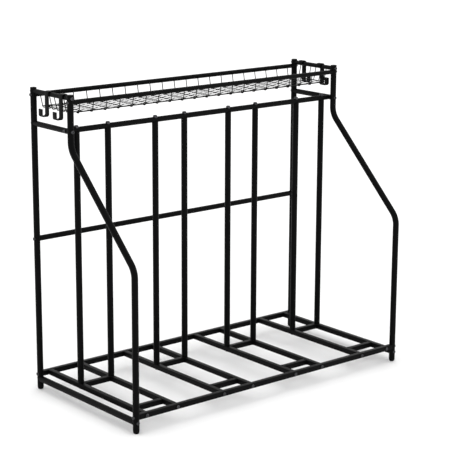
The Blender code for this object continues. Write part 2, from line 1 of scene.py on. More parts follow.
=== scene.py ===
"""Visual model of a free-standing bicycle rack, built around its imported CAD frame.

Round and square tubes, hooks, wires, weld beads and bolts are drawn finer than in
the CAD. Everything is in the CAD's frame, in metres: +X right, +Y back, +Z up.
"""

import math

import bmesh
import bpy
from mathutils import Matrix, Vector


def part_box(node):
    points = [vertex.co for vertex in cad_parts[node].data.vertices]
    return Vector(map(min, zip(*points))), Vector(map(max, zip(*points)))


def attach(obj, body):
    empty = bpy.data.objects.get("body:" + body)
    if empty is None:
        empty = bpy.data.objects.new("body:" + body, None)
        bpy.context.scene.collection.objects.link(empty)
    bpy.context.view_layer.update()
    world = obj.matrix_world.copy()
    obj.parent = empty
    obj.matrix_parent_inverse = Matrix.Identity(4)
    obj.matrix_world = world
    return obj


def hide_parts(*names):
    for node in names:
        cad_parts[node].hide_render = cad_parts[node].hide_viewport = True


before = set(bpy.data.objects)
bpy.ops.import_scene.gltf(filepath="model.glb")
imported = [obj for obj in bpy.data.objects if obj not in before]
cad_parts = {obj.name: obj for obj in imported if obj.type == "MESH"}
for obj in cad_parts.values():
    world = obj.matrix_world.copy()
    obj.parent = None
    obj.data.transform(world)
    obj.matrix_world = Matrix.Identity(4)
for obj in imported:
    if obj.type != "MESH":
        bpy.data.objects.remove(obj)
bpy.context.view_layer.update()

# Places of the tube axes
POST_X = 0.590
FRONT_Y = -0.281
UPPER_Y = 0.063
BACK_Y = 0.281
UPRIGHT_Y = 0.087
FRONT_CROSS_Y = -0.210
MIDDLE_Y = (UPPER_Y + BACK_Y) / 2
RACK_TOP = 1.066
BEND_LOW_Z = 0.5455
BEND_HIGH_Z = 0.884
LOW_SIDE_Z = 0.0374
LOW_FRONT_Z = 0.056
MIDDLE_Z = 0.543
TOP_Z = 0.944
RAIL_Z = 1.041
SIDE_RAIL_Z = 1.054
FLOOR_TOP_Z = 1.0045
TRAY_COUNT = 4
TRAY_PITCH = 0.3254
TRAY_HALF = 0.0635

# Sections
POST_R = 0.011
BAR_R = 0.0095
RAIL_R = 0.008
SQUARE = 0.018
SQUARE_CORNER_R = 0.0022
POST_BEND_R = 0.065
WIRE_R = 0.0016
SUPPORT_R = 0.0014
FIT = 0.0003

# Plugs
CAP_HEIGHT = 0.005
FOOT_HEIGHT = 0.012
FOOT_FACE_R = 0.006
PLUG_WALL = 0.0015
CAP_RING_SHARE = 0.5
PLUG_EDGE_R = 0.0012
PLUG_DEPTH = 0.010

# Bolts
SHANK_R = 0.003
SHANK_LENGTH = 0.028
SHORT_SHANK = 0.006
HEAD_R = 0.00575
HEAD_HEIGHT = 0.0033
DOME_R = 0.0075
DOME_HEIGHT = 0.0056
SOCKET_R = 0.0023
SOCKET_DEPTH = 0.0019
SOCKET_EDGE = 0.0002
SOCKET_FLARE = 1.06
HEAD_FLAT_SHARE = 0.5
HEAD_RIM_SHARE = 0.32

# Hooks
HOOK_WIDTH = 0.022
HOOK_THICKNESS = 0.003
HOOK_EDGE_R = 0.0007
HOOK_DROP = 0.073
HOOK_REACH = 0.025
HOOK_TIP = 0.026
HOOK_LIP = 0.005
HOOK_BEND_R = 0.006
HOOK_CLEARANCE = 0.0005

# Basket
WIRE_PITCH = 0.0545
WIRE_COUNT = 21
SIDE_WIRE_PITCH = 0.028
SIDE_WIRE_COUNT = 6
WIRE_TOP_Z = 1.044
WIRE_LEAN = 0.008
SIDE_WIRE_LEAN = 0.012
WIRE_TURN_R = 0.006
WIRE_FOOT = 0.007
WIRE_WELD = 0.001
WIRE_EDGE_R = 0.0006
FLOOR_SHEET = 0.0012
FLOOR_HALF_X = 0.570
FLOOR_HALF_Y = 0.0905
MESH_LONG = 0.0545
MESH_SHORT = 0.0255
MESH_STRAND = 0.0024
MESH_THICKNESS = 0.0012
MESH_TILT = 0.00028
MESH_BAND = 0.006
MESH_TUCK = 0.001
BAND_CORNER_R = 0.002

# Weld beads
WELD_R = 0.0011
WELD_RIPPLE = 0.16
WELD_RIPPLE_LENGTH = 0.0021

# Ends of coped tubes
COPE_RINGS = (0.3, 0.65, 1.0)
UPRIGHT_TOP_BELOW_AXIS = 0.0038

# Fineness
ROUND = 40
WIRE_ROUND = 12
HEAD_ROUND = 36
BEAD_ROUND = 8
RIPPLE_STEPS = 3
POST_BEND_STEPS = 18
HOOK_BEND_STEPS = 10
WIRE_BEND_STEPS = 8
FOOT_STEPS = 10
CAP_EDGE_STEPS = 5
HEAD_STEPS = 9
MESH_EDGE_STEPS = 3
MERGE_DISTANCE = 2e-5
FLAT_CELL = 1e-6
SHARP_ANGLE = 35
BOLT_SHARP_ANGLE = 40

# Finish: shares of a colour, stops of its ramp, and how far roughness strays
SHADE_SHARES = (0.75, 1.3)
SHADE_STOPS = (0.35, 0.70)
GLOSS_STRAY = (-0.07, 0.09)
RELIEF_DEPTH = 0.0002
SHADE_PATCH = 40
GLOSS_PATCH = 12
SPECULAR_LEVEL = 0.06

# Stage
GROUND_HALF = 60.0
GROUND_COLOUR = (0.90, 0.90, 0.90, 1.0)
GROUND_SPECULAR_LEVEL = 0.1
GROUND_GRAIN = 60
GROUND_ROUGHNESS = (0.75, 0.95)
SKY_STRENGTH = 1.22
SUN_DIRECTION = (-0.04, -0.06, -1.0)
SUN_STRENGTH = 0.35
SUN_SPREAD = 40
SUN_DISTANCE = 3
CAMERA_PLACE = (-3.4269, -4.1343, 1.8486)
CAMERA_HEADING = -0.69920
CAMERA_DIP = 0.24121
CAMERA_ROLL = 0.00567
CAMERA_LENS = 121.10
CAMERA_SENSOR = 36.0
CAMERA_REACH = 200.0

# Derived places
WIRE_BESIDE = RAIL_R + WIRE_R - WIRE_WELD
TO_EDGE_WIRE = WIRE_BESIDE + WIRE_LEAN + WIRE_TURN_R + WIRE_FOOT / 2
SIDES = {"left": -1, "right": 1}


def evenly(count, pitch):
    """Return places a pitch apart, centred on zero."""
    return [(index - (count - 1) / 2) * pitch for index in range(count)]


TRAY_XS = evenly(TRAY_COUNT, TRAY_PITCH)


# ---------------------------------------------------------------- materials

def surface(name, colour, roughness, metallic, bump, grain):
    """Return a Principled material with fine relief, soft cloudy gloss and a faint shade change.

    The grain is the number of relief cells in a metre.
    """
    material = bpy.data.materials.new(name)
    material.use_nodes = True
    nodes, links = material.node_tree.nodes, material.node_tree.links
    shader = nodes["Principled BSDF"]
    shader.inputs["Metallic"].default_value = metallic
    shader.inputs["Specular IOR Level"].default_value = SPECULAR_LEVEL
    place = nodes.new("ShaderNodeTexCoord").outputs["Object"]

    def noise(scale, detail):
        node = nodes.new("ShaderNodeTexNoise")
        node.inputs["Scale"].default_value = scale
        node.inputs["Detail"].default_value = detail
        links.new(place, node.inputs["Vector"])
        return node.outputs["Fac"]

    shade = nodes.new("ShaderNodeValToRGB")
    for stop, position, share in zip(shade.color_ramp.elements, SHADE_STOPS, SHADE_SHARES):
        stop.position = position
        stop.color = (*[c * share for c in colour], 1.0)
    links.new(noise(grain / SHADE_PATCH, 4.0), shade.inputs["Fac"])
    links.new(shade.outputs["Color"], shader.inputs["Base Color"])

    gloss = nodes.new("ShaderNodeMapRange")
    gloss.inputs["To Min"].default_value = roughness + GLOSS_STRAY[0]
    gloss.inputs["To Max"].default_value = roughness + GLOSS_STRAY[1]
    links.new(noise(grain / GLOSS_PATCH, 5.0), gloss.inputs["Value"])
    links.new(gloss.outputs["Result"], shader.inputs["Roughness"])

    relief = nodes.new("ShaderNodeBump")
    relief.inputs["Strength"].default_value = bump
    relief.inputs["Distance"].default_value = RELIEF_DEPTH
    links.new(noise(grain, 3.0), relief.inputs["Height"])
    links.new(relief.outputs["Normal"], shader.inputs["Normal"])
    return material


FINISHES = {
    "post_powder_coat": ((0.0010, 0.0010, 0.0011), 0.42, 0.0, 0.30, 900),
    "bar_powder_coat": ((0.0012, 0.0012, 0.0013), 0.42, 0.0, 0.30, 900),
    "upright_powder_coat": ((0.0010, 0.0010, 0.0011), 0.42, 0.0, 0.30, 900),
    "tray_powder_coat": ((0.0013, 0.0013, 0.0014), 0.44, 0.0, 0.32, 850),
    "basket_powder_coat": ((0.0013, 0.0013, 0.0014), 0.45, 0.0, 0.30, 1100),
    "mesh_powder_coat": ((0.0020, 0.0020, 0.0021), 0.48, 0.0, 0.35, 1200),
    "hook_powder_coat": ((0.0010, 0.0010, 0.0011), 0.40, 0.0, 0.28, 950),
    "black_plastic": ((0.0028, 0.0028, 0.0028), 0.55, 0.0, 0.45, 1600),
    "black_oxide_steel": ((0.0600, 0.0600, 0.0640), 0.30, 0.9, 0.15, 2200),
}
MATERIALS = {name: surface(name, *values) for name, values in FINISHES.items()}


# ---------------------------------------------------------------- shapes

class Shape:
    """A mesh under construction, made of one or more closed shells."""

    def __init__(self):
        self.mesh = bmesh.new()

    def loft(self, rings, centres=None, loop=False):
        """Skin a row of equal rings. Centres close the two ends, and a loop needs none."""
        rows = [[self.mesh.verts.new(point) for point in ring] for ring in rings]
        pairs = list(zip(rows, rows[1:]))
        if loop:
            pairs.append((rows[-1], rows[0]))
        count = len(rows[0])
        for near, far in pairs:
            for i in range(count):
                j = (i + 1) % count
                self.mesh.faces.new((near[i], near[j], far[j], far[i]))
        if centres is not None:
            for row, centre in zip((rows[0], rows[-1]), centres):
                middle = self.mesh.verts.new(centre)
                for i in range(count):
                    self.mesh.faces.new((row[i], row[(i + 1) % count], middle))

    def finish(self, name, slot, body="rack", nodes=(), sharp=SHARP_ANGLE):
        """Turn the shells into one named piece that rides on a CAD body."""
        bmesh.ops.recalc_face_normals(self.mesh, faces=self.mesh.faces)
        data = bpy.data.meshes.new(name)
        self.mesh.to_mesh(data)
        self.mesh.free()
        data.shade_smooth()
        data.set_sharp_from_angle(angle=math.radians(sharp))
        data.materials.append(MATERIALS[slot])
        piece = bpy.data.objects.new(name, data)
        bpy.context.scene.collection.objects.link(piece)
        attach(piece, body)
        if nodes:
            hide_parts(*nodes)
        return piece


def circle(radius, sides):
    """Return a round outline as (across, up) pairs."""
    steps = [math.tau * i / sides for i in range(sides)]
    return [(radius * math.cos(step), radius * math.sin(step)) for step in steps]


def rounded_box(width, height, radius, steps=4):
    """Return a rectangular outline with rounded corners."""
    outline = []
    for corner, (sx, sy) in enumerate(((1, 1), (-1, 1), (-1, -1), (1, -1))):
        for step in range(steps + 1):
            angle = math.pi / 2 * (corner + step / steps)
            outline.append((sx * (width / 2 - radius) + radius * math.cos(angle),
                            sy * (height / 2 - radius) + radius * math.sin(angle)))
    return outline


def ring(centre, across, up, outline, scale=1.0):
    """Place an outline in space."""
    return [centre + across * (a * scale) + up * (b * scale) for a, b in outline]


def rounded_path(corners, radius, steps):
    """Return a path through the corners, each inner one turned into an arc."""
    corners = [Vector(corner) for corner in corners]
    path = [corners[0]]
    for before, corner, after in zip(corners, corners[1:], corners[2:]):
        back = (before - corner).normalized()
        ahead = (after - corner).normalized()
        half = back.angle(ahead) / 2
        centre = corner + (back + ahead).normalized() * (radius / math.sin(half))
        start = corner + back * (radius / math.tan(half)) - centre
        end = corner + ahead * (radius / math.tan(half)) - centre
        sweep = start.angle(end)
        for step in range(steps + 1):
            share = step / steps
            path.append(centre + start * (math.sin((1 - share) * sweep) / math.sin(sweep))
                        + end * (math.sin(share * sweep) / math.sin(sweep)))
    path.append(corners[-1])
    return path


def sweep(shape, path, outline, side, edge=0.0):
    """Sweep an outline along a path in one plane, whose normal is the side vector.

    The ends are eased by the edge radius.
    """
    rings = []
    for i, point in enumerate(path):
        ahead = path[min(i + 1, len(path) - 1)]
        behind = path[max(i - 1, 0)]
        along = (ahead - behind).normalized()
        up = along.cross(side).normalized()
        if i in (0, len(path) - 1) and edge:
            inward = along if i == 0 else -along
            half = max(abs(b) for _, b in outline)
            eased = ring(point, side, up, outline, 1 - edge / half)
            full = ring(point + inward * edge, side, up, outline)
            rings += [eased, full] if i == 0 else [full, eased]
        else:
            rings.append(ring(point, side, up, outline))
    shape.loft(rings, (path[0], path[-1]))


def saddled_bar(shape, axis, centre, half_span, outline, seat):
    """Add a bar whose two ends are coped to the round tubes that it meets.

    The seat gives how far from the other tube's axis the end stops at each point.
    """
    along = Vector((1, 0, 0)) if axis == "x" else Vector((0, 1, 0))
    across = Vector((0, 1, 0)) if axis == "x" else Vector((1, 0, 0))
    up = Vector((0, 0, 1))
    centre = Vector(centre)

    def end(sign, scale):
        return [centre + across * (a * scale) + up * (b * scale)
                + along * (sign * (half_span - seat(a * scale, b * scale))) for a, b in outline]

    rings = [end(-1, scale) for scale in COPE_RINGS]
    rings += [end(1, scale) for scale in reversed(COPE_RINGS)]
    tip = along * (half_span - seat(0, 0))
    shape.loft(rings, (centre - tip, centre + tip))


def round_seat(radius, upright=True):
    """Return the seat against a round tube, standing or lying across the bar."""
    def seat(a, b):
        offset = a if upright else b
        return math.sqrt(max(radius * radius - offset * offset, 0.0))
    return seat


def turn(shape, profile, origin, sides):
    """Add a solid of revolution about a vertical line from (radius, height) pairs."""
    origin = Vector(origin)
    rings = [ring(origin + Vector((0, 0, height)), Vector((1, 0, 0)), Vector((0, 1, 0)),
                  circle(radius, sides)) for radius, height in profile[1:-1]]
    ends = [origin + Vector((0, 0, profile[i][1])) for i in (0, -1)]
    shape.loft(rings, ends)


def arc(centre, radius_a, radius_b, start, end, steps):
    """Return (radius, height) pairs on an elliptical arc between two angles."""
    angles = [start + (end - start) * i / steps for i in range(steps + 1)]
    return [(centre[0] + radius_a * math.cos(angle), centre[1] + radius_b * math.sin(angle))
            for angle in angles]


def weld_bead(shape, centre, across, up, width, height):
    """Add a rippled bead round a rectangular joint."""
    centre, across, up = Vector(centre), Vector(across), Vector(up)
    outline = rounded_box(width, height, SQUARE_CORNER_R + WELD_R / 2, 3)
    points = []
    for (a, b), (c, d) in zip(outline, outline[1:] + outline[:1]):
        steps = max(1, round(math.hypot(c - a, d - b) / (WELD_RIPPLE_LENGTH / RIPPLE_STEPS)))
        points += [(a + (c - a) * i / steps, b + (d - b) * i / steps) for i in range(steps)]
    normal = across.cross(up)
    rings = []
    travelled = 0.0
    for i, (a, b) in enumerate(points):
        c, d = points[(i + 1) % len(points)]
        travelled += math.hypot(c - a, d - b)
        outward = (across * a + up * b).normalized()
        swell = 1 + WELD_RIPPLE * math.sin(math.tau * travelled / WELD_RIPPLE_LENGTH)
        place = centre + across * a + up * b
        rings.append(ring(place, outward, normal, circle(WELD_R * swell, BEAD_ROUND)))
    shape.loft(rings, loop=True)


# ---------------------------------------------------------------- posts, caps and feet

def add_posts():
    """Add the bent front posts and the straight back posts."""
    side = Vector((1, 0, 0))
    outline = circle(POST_R, ROUND)
    for name, sign in SIDES.items():
        x = sign * POST_X
        low, high = FOOT_HEIGHT, RACK_TOP - CAP_HEIGHT
        paths = {
            "front": rounded_path([(x, FRONT_Y, low), (x, FRONT_Y, BEND_LOW_Z),
                                   (x, UPPER_Y, BEND_HIGH_Z), (x, UPPER_Y, high)],
                                  POST_BEND_R, POST_BEND_STEPS),
            "back": [Vector((x, BACK_Y, low)), Vector((x, BACK_Y, high))],
        }
        for row, path in paths.items():
            shape = Shape()
            sweep(shape, path, outline, side)
            shape.finish(f"{row}_{name}_post_tube", "post_powder_coat",
                         nodes=[f"{row}_{name}_post"])


def add_plugs():
    """Add the domed feet and the flat caps."""
    spigot = POST_R - PLUG_WALL
    shoulder = FOOT_HEIGHT - FIT
    under_cap = RACK_TOP - CAP_HEIGHT + FIT
    foot = [(0, shoulder + PLUG_DEPTH), (spigot, shoulder + PLUG_DEPTH), (spigot, shoulder),
            (POST_R - FIT, shoulder), (POST_R, shoulder - FIT)]
    foot += arc((FOOT_FACE_R, shoulder - FIT), POST_R - FOOT_FACE_R, shoulder - FIT, 0,
                -math.pi / 2, FOOT_STEPS)[1:]
    foot.append((0, 0))
    cap = [(0, RACK_TOP), (POST_R * CAP_RING_SHARE, RACK_TOP)]
    cap += arc((POST_R - PLUG_EDGE_R, RACK_TOP - PLUG_EDGE_R), PLUG_EDGE_R, PLUG_EDGE_R,
               math.pi / 2, 0, CAP_EDGE_STEPS)
    cap += [(POST_R, under_cap), (spigot, under_cap), (spigot, under_cap - PLUG_DEPTH),
            (0, under_cap - PLUG_DEPTH)]
    for side, sign in SIDES.items():
        for row, foot_y, cap_y in (("front", FRONT_Y, UPPER_Y), ("back", BACK_Y, BACK_Y)):
            for part, profile, y in (("foot", foot, foot_y), ("cap", cap, cap_y)):
                shape = Shape()
                turn(shape, profile, (sign * POST_X, y, 0), ROUND)
                shape.finish(f"{row}_{side}_{part}_plug", "black_plastic",
                             nodes=[f"{row}_{side}_{part}"])


# ---------------------------------------------------------------- bars, trays and uprights

def add_bars():
    """Add the bolted bars, coped to the tubes that they meet."""
    square = rounded_box(SQUARE, SQUARE, SQUARE_CORNER_R)
    low_round = circle(POST_R, ROUND)
    thin_round = circle(BAR_R, ROUND)
    post_seat = round_seat(POST_R + FIT)
    bar_seat = round_seat(BAR_R + FIT, upright=False)
    half_depth = BACK_Y
    half_shelf = (BACK_Y - UPPER_Y) / 2
    bars = [
        ("low_front_bar", "x", (0, FRONT_Y, LOW_FRONT_Z), POST_X, square, post_seat),
        ("low_back_bar", "x", (0, BACK_Y, LOW_FRONT_Z), POST_X, square, post_seat),
        ("middle_back_bar", "x", (0, BACK_Y, MIDDLE_Z), POST_X, thin_round, post_seat),
        ("top_front_bar", "x", (0, UPRIGHT_Y, TOP_Z), POST_X, thin_round, bar_seat),
    ]
    for side, sign in SIDES.items():
        x = sign * POST_X
        bars.append((f"low_{side}_bar", "y", (x, 0, LOW_SIDE_Z), half_depth, low_round, post_seat))
        bars.append((f"top_{side}_bar", "y", (x, MIDDLE_Y, TOP_Z), half_shelf, thin_round,
                     post_seat))
    for name, axis, centre, half_span, outline, seat in bars:
        shape = Shape()
        saddled_bar(shape, axis, centre, half_span, outline, seat)
        shape.finish(f"{name}_tube", "bar_powder_coat", nodes=[name])


def add_trays():
    """Add each wheel tray: two rails, two cross-pieces and the welds between them."""
    outline = rounded_box(SQUARE, SQUARE, SQUARE_CORNER_R)
    x_axis, y_axis, z_axis = Vector((1, 0, 0)), Vector((0, 1, 0)), Vector((0, 0, 1))
    half_rail = BACK_Y - SQUARE / 2 - FIT
    for index, x in enumerate(TRAY_XS, 1):
        rails = Shape()
        for sign in (-1, 1):
            middle = Vector((x + sign * TRAY_HALF, 0, LOW_FRONT_Z))
            sweep(rails, [middle - y_axis * half_rail, middle + y_axis * half_rail], outline,
                  x_axis)
        inner = TRAY_HALF - SQUARE / 2
        for y in (FRONT_CROSS_Y, UPRIGHT_Y):
            middle = Vector((x, y, LOW_FRONT_Z))
            sweep(rails, [middle - x_axis * inner, middle + x_axis * inner], outline, y_axis)
            for sign in (-1, 1):
                weld_bead(rails, middle + x_axis * (sign * inner), y_axis, z_axis, SQUARE, SQUARE)
        rails.finish(f"tray_{index}_welded_tubes", "tray_powder_coat",
                     nodes=[f"wheel_tray_{index}"])


def add_uprights():
    """Add the round uprights, coped under the top front bar."""
    bottom = LOW_FRONT_Z + SQUARE / 2 + FIT
    seat = BAR_R + FIT
    outline = circle(POST_R, ROUND)
    number = 0
    for x in TRAY_XS:
        for sign in (-1, 1):
            number += 1
            foot = Vector((x + sign * TRAY_HALF, UPRIGHT_Y, bottom))
            base = [foot + Vector((a, b, 0)) for a, b in outline]
            rings = [base]
            for scale in reversed(COPE_RINGS):
                top = []
                for a, b in outline:
                    drop = math.sqrt(max(seat * seat - (b * scale) ** 2, 0.0))
                    height = TOP_Z - max(drop, UPRIGHT_TOP_BELOW_AXIS)
                    top.append(Vector((foot.x + a * scale, foot.y + b * scale, height)))
                rings.append(top)
            shape = Shape()
            shape.loft(rings, (foot, Vector((foot.x, foot.y, TOP_Z - seat))))
            shape.finish(f"upright_{number}_tube", "upright_powder_coat",
                         nodes=[f"wheel_upright_{number}"])


# ---------------------------------------------------------------- bolts

def hexagon(radius, sides):
    """Return a hexagon sampled at the same angles as a round outline."""
    points = []
    for i in range(sides):
        angle = math.tau * i / sides
        local = (angle % (math.pi / 3)) - math.pi / 6
        reach = radius * math.cos(math.pi / 6) / math.cos(local)
        points.append((reach * math.cos(angle), reach * math.sin(angle)))
    return points


def add_bolt(name, seat, outward, tube_axis, tube_radius, radius, height, shank, nodes=()):
    """Add a button-head bolt whose underside follows the tube that it bears on."""
    seat, out, lie = Vector(seat), Vector(outward), Vector(tube_axis)
    across = lie.cross(out)

    def level(outline, rise):
        return [seat + across * a + lie * b + out * rise for a, b in outline]

    def on_tube(outline):
        points = []
        for a, b in outline:
            sink = 0.0
            if tube_radius:
                sink = math.sqrt(max(tube_radius ** 2 - a * a, 0.0)) - tube_radius
            points.append(seat + across * a + lie * b + out * sink)
        return points

    round_head = circle(radius, HEAD_ROUND)
    shank_outline = circle(SHANK_R, HEAD_ROUND)
    rings = [level(shank_outline, -shank), on_tube(shank_outline), on_tube(round_head)]
    flat, rim = radius * HEAD_FLAT_SHARE, height * HEAD_RIM_SHARE
    dome = arc((flat, rim), radius - flat, height - rim, 0, math.pi / 2, HEAD_STEPS)
    rings += [level(circle(r, HEAD_ROUND), rise) for r, rise in dome]
    rings.append(level(hexagon(SOCKET_R * SOCKET_FLARE, HEAD_ROUND), height))
    rings.append(level(hexagon(SOCKET_R, HEAD_ROUND), height - SOCKET_EDGE))
    rings.append(level(hexagon(SOCKET_R, HEAD_ROUND), height - SOCKET_DEPTH))
    shape = Shape()
    shape.loft(rings, (seat - out * shank, seat + out * (height - SOCKET_DEPTH)))
    shape.finish(name, "black_oxide_steel", nodes=nodes, sharp=BOLT_SHARP_ANGLE)


def add_post_bolts():
    """Add the bolts that stand in the CAD: through the posts, and through the top side bars."""
    z_axis, y_axis = (0, 0, 1), (0, 1, 0)
    reach = POST_R + FIT
    for side, sign in SIDES.items():
        rows = (("low_front", FRONT_Y, LOW_FRONT_Z, POST_X + reach, z_axis, POST_R),
                ("low_back", BACK_Y, LOW_FRONT_Z, POST_X + reach, z_axis, POST_R),
                ("middle_back", BACK_Y, MIDDLE_Z, POST_X + reach, z_axis, POST_R),
                ("top_front", UPRIGHT_Y, TOP_Z, POST_X + BAR_R + FIT, y_axis, BAR_R))
        for name, y, z, x, lie, radius in rows:
            add_bolt(f"{name}_{side}_bolt", (sign * x, y, z), (sign, 0, 0), lie, radius, HEAD_R,
                     HEAD_HEIGHT, SHANK_LENGTH, [f"bolt_{name}_{side}"])
        for level, z, front in (("low", LOW_SIDE_Z, FRONT_Y), ("top", TOP_Z, UPPER_Y)):
            for row, y, way in (("front", front - reach, -1), ("back", BACK_Y + reach, 1)):
                add_bolt(f"{level}_{side}_{row}_bolt", (sign * POST_X, y, z), (0, way, 0), z_axis,
                         POST_R, HEAD_R, HEAD_HEIGHT, SHANK_LENGTH,
                         [f"bolt_{level}_{side}_{row}"])


def add_rail_bolts():
    """Add the bolts through the posts into the basket rails."""
    reach = POST_R + FIT
    for side, sign in SIDES.items():
        for row, y in (("front", UPPER_Y), ("back", BACK_Y)):
            add_bolt(f"basket_{row}_{side}_bolt", (sign * (POST_X + reach), y, RAIL_Z),
                     (sign, 0, 0), (0, 0, 1), POST_R, HEAD_R, HEAD_HEIGHT, SHORT_SHANK)
        for row, y, way in (("front", UPPER_Y - reach, -1), ("back", BACK_Y + reach, 1)):
            add_bolt(f"basket_{side}_{row}_bolt", (sign * POST_X, y, SIDE_RAIL_Z), (0, way, 0),
                     (0, 0, 1), POST_R, HEAD_R, HEAD_HEIGHT, SHORT_SHANK)


def add_tray_bolts():
    """Add the bolts at the ends of the tray rails, and above and below each upright."""
    number = 0
    face = SQUARE / 2 + FIT
    for x in TRAY_XS:
        for sign in (-1, 1):
            number += 1
            rail_x = x + sign * TRAY_HALF
            add_bolt(f"rail_{number}_front_bolt", (rail_x, FRONT_Y - face, LOW_FRONT_Z),
                     (0, -1, 0), (1, 0, 0), None, HEAD_R, HEAD_HEIGHT, SHORT_SHANK)
            add_bolt(f"rail_{number}_back_bolt", (rail_x, BACK_Y + face, LOW_FRONT_Z),
                     (0, 1, 0), (1, 0, 0), None, HEAD_R, HEAD_HEIGHT, SHORT_SHANK)
            add_bolt(f"upright_{number}_top_bolt", (rail_x, UPRIGHT_Y, TOP_Z + BAR_R + FIT),
                     (0, 0, 1), (1, 0, 0), BAR_R, DOME_R, DOME_HEIGHT, SHORT_SHANK)
            add_bolt(f"upright_{number}_bottom_bolt", (rail_x, UPRIGHT_Y, LOW_FRONT_Z - face),
                     (0, 0, -1), (1, 0, 0), None, HEAD_R, HEAD_HEIGHT, SHORT_SHANK)


# ---------------------------------------------------------------- basket

def straight_wire(shape, start, end, side, radius=WIRE_R):
    """Add a straight wire with eased ends."""
    sweep(shape, [Vector(start), Vector(end)], circle(radius, WIRE_ROUND), Vector(side),
          WIRE_EDGE_R)


def basket_wire(shape, top, inward, lean, foot_z):
    """Add one wire: down from its rail, leaning in, then turned under the floor."""
    corner = Vector((top.x, top.y, foot_z)) + inward * lean
    foot = corner + inward * (WIRE_TURN_R + WIRE_FOOT)
    path = rounded_path([top, corner, foot], WIRE_TURN_R, WIRE_BEND_STEPS)
    sweep(shape, path, circle(WIRE_R, WIRE_ROUND), inward.cross(Vector((0, 0, 1))), WIRE_EDGE_R)


def add_basket_sides():
    """Add the four basket rails with their wires."""
    rail = circle(RAIL_R, ROUND)
    seat = round_seat(POST_R + FIT)
    floor_wire_z = FLOOR_TOP_Z - FLOOR_SHEET - FIT - WIRE_R
    foot_z = floor_wire_z - 2 * WIRE_R + WIRE_WELD
    places = evenly(WIRE_COUNT, WIRE_PITCH)
    for row, y, way in (("front", UPPER_Y, 1), ("back", BACK_Y, -1)):
        shape = Shape()
        saddled_bar(shape, "x", (0, y, RAIL_Z), POST_X, rail, seat)
        for x in places:
            top = Vector((x, y + way * WIRE_BESIDE, WIRE_TOP_Z))
            basket_wire(shape, top, Vector((0, way, 0)), WIRE_LEAN, foot_z)
        reach = places[-1] + 2 * WIRE_R
        edge_y = y + way * TO_EDGE_WIRE
        straight_wire(shape, (-reach, edge_y, floor_wire_z), (reach, edge_y, floor_wire_z),
                      (0, 1, 0))
        shape.finish(f"basket_{row}_grille", "basket_powder_coat", nodes=[f"basket_{row}"])
    for side, sign in SIDES.items():
        x = sign * POST_X
        shape = Shape()
        saddled_bar(shape, "y", (x, MIDDLE_Y, SIDE_RAIL_Z), (BACK_Y - UPPER_Y) / 2, rail, seat)
        for y in evenly(SIDE_WIRE_COUNT, SIDE_WIRE_PITCH):
            basket_wire(shape, Vector((x, MIDDLE_Y + y, SIDE_RAIL_Z)), Vector((-sign, 0, 0)),
                        SIDE_WIRE_LEAN, floor_wire_z)
        shape.finish(f"basket_{side}_grille", "basket_powder_coat", nodes=[f"basket_{side}"])


def clamp(value, limit):
    """Return the value held within the limit on both sides."""
    return max(-limit, min(limit, value))


def mesh_cell(x, y, share):
    """Return the points round one diamond cell: its edge at share 0, its opening at share 1."""
    angle = math.atan2(MESH_SHORT, MESH_LONG)
    half_x = MESH_LONG / 2 - share * MESH_STRAND / 2 / math.sin(angle)
    half_y = MESH_SHORT / 2 - share * MESH_STRAND / 2 / math.cos(angle)
    corners = [(half_x, 0), (0, half_y), (-half_x, 0), (0, -half_y)]
    points = []
    for (a, b), (c, d) in zip(corners, corners[1:] + corners[:1]):
        for step in range(MESH_EDGE_STEPS):
            share_along = step / MESH_EDGE_STEPS
            points.append((x + a + (c - a) * share_along, y + b + (d - b) * share_along))
    return points


def held_cell(x, y, share, inset):
    """Return a cell's points, held inside the floor's edge by the inset."""
    return [(clamp(a, FLOOR_HALF_X - inset), clamp(b, FLOOR_HALF_Y - inset))
            for a, b in mesh_cell(x, y, share)]


def spans(points):
    """Return how far the points reach along X and along Y."""
    return tuple(max(values) - min(values) for values in zip(*points))


def add_cell(mesh, x, y, z):
    """Add the strands round one cell of the floor, tilted, or a flat patch where it is cut short."""
    hole = held_cell(x, y, 1.0, MESH_BAND)
    edge = held_cell(x, y, 0.0, MESH_TUCK)
    width, depth = spans(hole)
    if width < MESH_BAND or depth < MESH_STRAND:
        if min(spans(edge)) >= FLAT_CELL:
            mesh.faces.new([mesh.verts.new((a, MIDDLE_Y + b, z)) for a, b in edge])
        return
    outer = [mesh.verts.new((a, MIDDLE_Y + b, z)) for a, b in edge]
    inner = []
    for (a, b), (_, at) in zip(hole, mesh_cell(0, 0, 1.0)):
        tilt = MESH_TILT * clamp(at / (MESH_SHORT / 4), 1.0)
        inner.append(mesh.verts.new((a, MIDDLE_Y + b, z + tilt)))
    for i in range(len(outer)):
        j = (i + 1) % len(outer)
        mesh.faces.new((outer[i], outer[j], inner[j], inner[i]))


def add_floor():
    """Add the mesh of the expanded-metal floor, with tilted strands."""
    z = FLOOR_TOP_Z - FLOOR_SHEET / 2
    rows = math.ceil(2 * FLOOR_HALF_Y / MESH_SHORT)
    columns = math.ceil(FLOOR_HALF_X / MESH_LONG)
    shape = Shape()
    for row in range(-rows, rows + 1):
        shift = 0.0 if row % 2 else 0.5
        for column in range(-columns - 1, columns + 1):
            add_cell(shape.mesh, (column + shift) * MESH_LONG, row * MESH_SHORT / 2, z)
    bmesh.ops.remove_doubles(shape.mesh, verts=shape.mesh.verts, dist=MERGE_DISTANCE)
    bmesh.ops.dissolve_degenerate(shape.mesh, edges=shape.mesh.edges, dist=MERGE_DISTANCE)
    floor = shape.finish("basket_floor_mesh", "mesh_powder_coat", nodes=["basket_floor"])
    wall = floor.modifiers.new("sheet", "SOLIDIFY")
    wall.thickness = MESH_THICKNESS
    wall.offset = 0.0


